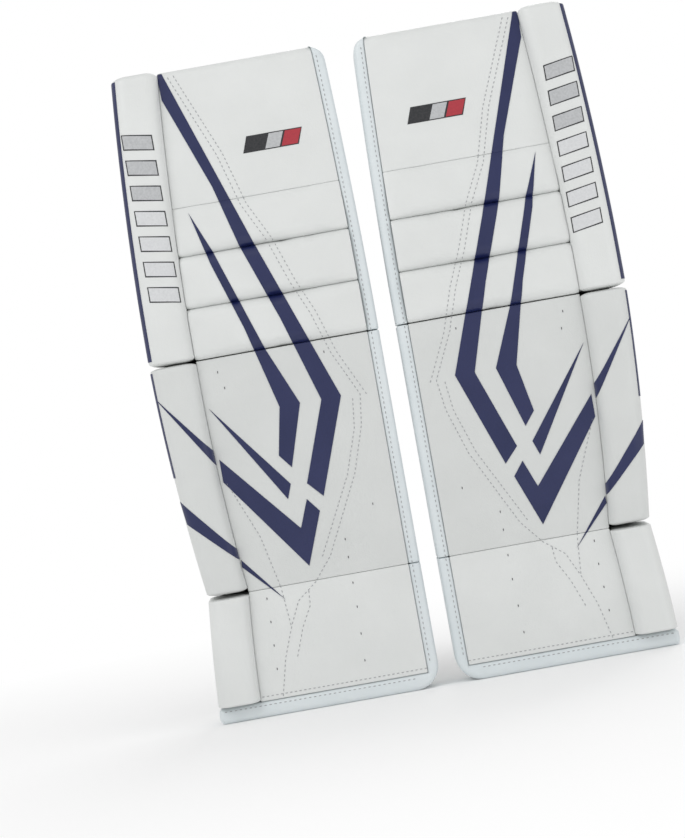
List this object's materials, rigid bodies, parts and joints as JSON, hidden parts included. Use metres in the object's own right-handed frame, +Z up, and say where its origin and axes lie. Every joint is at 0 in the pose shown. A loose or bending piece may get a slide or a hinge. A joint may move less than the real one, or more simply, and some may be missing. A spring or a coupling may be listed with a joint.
{
  "type": "goalie leg pads",
  "caption": "Pair of ice hockey goalie leg pads: flat-faced foam fronts with knee rolls and an outer roll, folding calf and knee wings, elastic straps, boot channel and toe bridge.",
  "frame": {"origin": "on the floor, midway between the two pads and midway through the pair's depth", "axes": "+Z up the pads from toe to thigh, +X towards the wearer's left pad, the faces look along -Y and the leg channels open along +Y"},
  "size_m": [0.5806, 0.2234, 0.7881],
  "materials": {
    "white_leather": "smooth satin white synthetic leather",
    "white_binding": "smooth satin, slightly blue white",
    "navy_leather": "smooth satin navy synthetic leather",
    "foam_core": "closed-cell foam",
    "grey_mesh": "knitted nylon",
    "black_elastic": "woven elastic",
    "black_webbing": "woven nylon",
    "black_leather": "grained, semi-gloss",
    "black_plastic": "moulded acetal",
    "steel": "nickel plated"
  },
  "bodies": {
    "right_shin": {"right_shin_core": "foam_core", "right_shin_face": "white_leather", "right_outer_roll_shin": "white_leather", "right_inner_edge_shin": "white_binding", "right_shin_back_panel": "grey_mesh"},
    "right_upper": {"right_thigh_core": "foam_core", "right_thigh_face": "white_leather", "right_knee_roll_1": "white_leather", "right_knee_roll_2": "white_leather", "right_knee_roll_3": "white_leather", "right_outer_roll_upper": "white_leather", "right_inner_edge_upper": "white_binding", "right_upper_back_panel": "grey_mesh", "right_knee_block": "white_leather"},
    "right_boot": {"right_boot_core": "foam_core", "right_boot_face": "white_leather", "right_outer_roll_boot": "white_leather", "right_boot_binding": "white_binding", "right_boot_side_walls": "white_leather", "right_boot_webbing": "black_webbing", "right_buckle_socket": "black_plastic", "right_toe_bridge": "black_leather"},
    "right_knee_wing": {"right_knee_wing": "white_leather"},
    "right_knee_strap": {"right_knee_strap": "black_elastic"},
    "right_calf_wing_outer": {"right_calf_wing_outer": "white_leather", "right_calf_strap_anchors": "black_leather"},
    "right_calf_wing_inner": {"right_calf_wing_inner": "white_leather"},
    "right_calf_strap_upper": {"right_calf_strap_upper": "black_elastic"},
    "right_calf_strap_lower": {"right_calf_strap_lower": "black_elastic"},
    "right_buckle_clip": {"right_buckle_clip": "black_plastic"},
    "left_shin": {"left_shin_core": "foam_core", "left_shin_face": "white_leather", "left_outer_roll_shin": "white_leather", "left_inner_edge_shin": "white_binding", "left_shin_back_panel": "grey_mesh"},
    "left_upper": {"left_thigh_core": "foam_core", "left_thigh_face": "white_leather", "left_knee_roll_1": "white_leather", "left_knee_roll_2": "white_leather", "left_knee_roll_3": "white_leather", "left_outer_roll_upper": "white_leather", "left_inner_edge_upper": "white_binding", "left_upper_back_panel": "grey_mesh", "left_knee_block": "white_leather"},
    "left_boot": {"left_boot_core": "foam_core", "left_boot_face": "white_leather", "left_outer_roll_boot": "white_leather", "left_boot_binding": "white_binding", "left_boot_side_walls": "white_leather", "left_boot_webbing": "black_webbing", "left_buckle_socket": "black_plastic", "left_toe_bridge": "black_leather"},
    "left_knee_wing": {"left_knee_wing": "white_leather"},
    "left_knee_strap": {"left_knee_strap": "black_elastic"},
    "left_calf_wing_outer": {"left_calf_wing_outer": "white_leather", "left_calf_strap_anchors": "black_leather"},
    "left_calf_wing_inner": {"left_calf_wing_inner": "white_leather"},
    "left_calf_strap_upper": {"left_calf_strap_upper": "black_elastic"},
    "left_calf_strap_lower": {"left_calf_strap_lower": "black_elastic"},
    "left_buckle_clip": {"left_buckle_clip": "black_plastic"}
  },
  "joints": [
    {"name": "right_knee_break", "type": "hinge", "parent": "right_shin", "child": "right_upper", "pos_m": [-0.1505, -0.02469, 0.434], "axis": [-1, 0, 0], "range_deg": [0, 18], "stiffness_Nm_per_rad": 20},
    {"name": "right_boot_break", "type": "hinge", "parent": "right_shin", "child": "right_boot", "pos_m": [-0.1505, -0.02469, 0.15], "axis": [-1, 0, 0], "range_deg": [-8, 3], "stiffness_Nm_per_rad": 60},
    {"name": "right_calf_wing_outer_fold", "type": "hinge", "parent": "right_shin", "child": "right_calf_wing_outer", "pos_m": [-0.24873, -0.02069, 0.284], "axis": [0, 0, 1], "range_deg": [0, 80]},
    {"name": "right_calf_wing_inner_fold", "type": "hinge", "parent": "right_shin", "child": "right_calf_wing_inner", "pos_m": [-0.05227, -0.02069, 0.284], "axis": [0, 0, 1], "range_deg": [-40, 0]},
    {"name": "right_calf_strap_upper_peel", "type": "hinge", "parent": "right_calf_wing_outer", "child": "right_calf_strap_upper", "pos_m": [-0.2007, 0.09826, 0.34], "axis": [0, 0, 1], "range_deg": [0, 90]},
    {"name": "right_calf_strap_lower_peel", "type": "hinge", "parent": "right_calf_wing_outer", "child": "right_calf_strap_lower", "pos_m": [-0.2007, 0.09826, 0.234], "axis": [0, 0, 1], "range_deg": [0, 90]},
    {"name": "right_knee_wing_fold", "type": "hinge", "parent": "right_upper", "child": "right_knee_wing", "pos_m": [-0.23578, -0.0163, 0.51768], "axis": [0, 0.0523, 0.9986], "range_deg": [0, 80]},
    {"name": "right_knee_strap_peel", "type": "hinge", "parent": "right_knee_wing", "child": "right_knee_strap", "pos_m": [-0.1947, 0.09216, 0.51299], "axis": [0, 0.0523, 0.9986], "range_deg": [0, 90]},
    {"name": "right_buckle_clip_slide", "type": "slide", "parent": "right_boot", "child": "right_buckle_clip", "axis": [1, 0, 0], "range_m": [0, 0.026]},
    {"name": "left_knee_break", "type": "hinge", "parent": "left_shin", "child": "left_upper", "pos_m": [0.1505, -0.02469, 0.434], "axis": [-1, 0, 0], "range_deg": [0, 18], "stiffness_Nm_per_rad": 20},
    {"name": "left_boot_break", "type": "hinge", "parent": "left_shin", "child": "left_boot", "pos_m": [0.1505, -0.02469, 0.15], "axis": [-1, 0, 0], "range_deg": [-8, 3], "stiffness_Nm_per_rad": 60},
    {"name": "left_calf_wing_outer_fold", "type": "hinge", "parent": "left_shin", "child": "left_calf_wing_outer", "pos_m": [0.24873, -0.02069, 0.284], "axis": [0, 0, -1], "range_deg": [0, 80]},
    {"name": "left_calf_wing_inner_fold", "type": "hinge", "parent": "left_shin", "child": "left_calf_wing_inner", "pos_m": [0.05227, -0.02069, 0.284], "axis": [0, 0, -1], "range_deg": [-40, 0]},
    {"name": "left_calf_strap_upper_peel", "type": "hinge", "parent": "left_calf_wing_outer", "child": "left_calf_strap_upper", "pos_m": [0.2007, 0.09826, 0.34], "axis": [0, 0, -1], "range_deg": [0, 90]},
    {"name": "left_calf_strap_lower_peel", "type": "hinge", "parent": "left_calf_wing_outer", "child": "left_calf_strap_lower", "pos_m": [0.2007, 0.09826, 0.234], "axis": [0, 0, -1], "range_deg": [0, 90]},
    {"name": "left_knee_wing_fold", "type": "hinge", "parent": "left_upper", "child": "left_knee_wing", "pos_m": [0.23578, -0.0163, 0.51768], "axis": [0, -0.0523, -0.9986], "range_deg": [0, 80]},
    {"name": "left_knee_strap_peel", "type": "hinge", "parent": "left_knee_wing", "child": "left_knee_strap", "pos_m": [0.1947, 0.09216, 0.51299], "axis": [0, -0.0523, -0.9986], "range_deg": [0, 90]},
    {"name": "left_buckle_clip_slide", "type": "slide", "parent": "left_boot", "child": "left_buckle_clip", "axis": [-1, 0, 0], "range_m": [0, 0.026]},
    {"name": "pair_spacing", "type": "slide", "parent": "right_shin", "child": "left_shin", "axis": [1, 0, 0], "range_m": [0, 0.3]}
  ],
  "couplings": [
    {"joint": "right_calf_wing_inner_fold", "follows": "right_calf_wing_outer_fold", "ratio": -0.5},
    {"joint": "left_calf_wing_inner_fold", "follows": "left_calf_wing_outer_fold", "ratio": -0.5}
  ]
}
